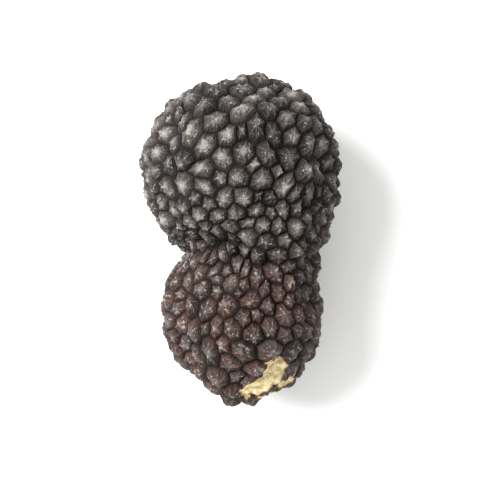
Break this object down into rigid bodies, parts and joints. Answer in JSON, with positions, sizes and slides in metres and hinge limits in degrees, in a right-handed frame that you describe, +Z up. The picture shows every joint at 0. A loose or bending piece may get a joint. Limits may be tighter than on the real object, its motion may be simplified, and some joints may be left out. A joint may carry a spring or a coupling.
{
  "type": "summer truffle",
  "caption": "Whole summer truffle: near-black knobbly fungus body with a round head, narrower waist and foot, its skin packed with low pyramid warts, lying on a small flat spot.",
  "frame": {"origin": "middle of the bounding box's bottom, on the small flat spot that the truffle rests on", "axes": "+Y along the truffle's length, from the foot lobe to the head lobe; +Z up, away from the flat spot"},
  "size_m": [0.0244, 0.04, 0.0217],
  "materials": {
    "skin": "matt, near-black brown rind with grey-brown worn wart tips"
  },
  "bodies": {
    "root": {"truffle": "skin"}
  },
  "joints": []
}
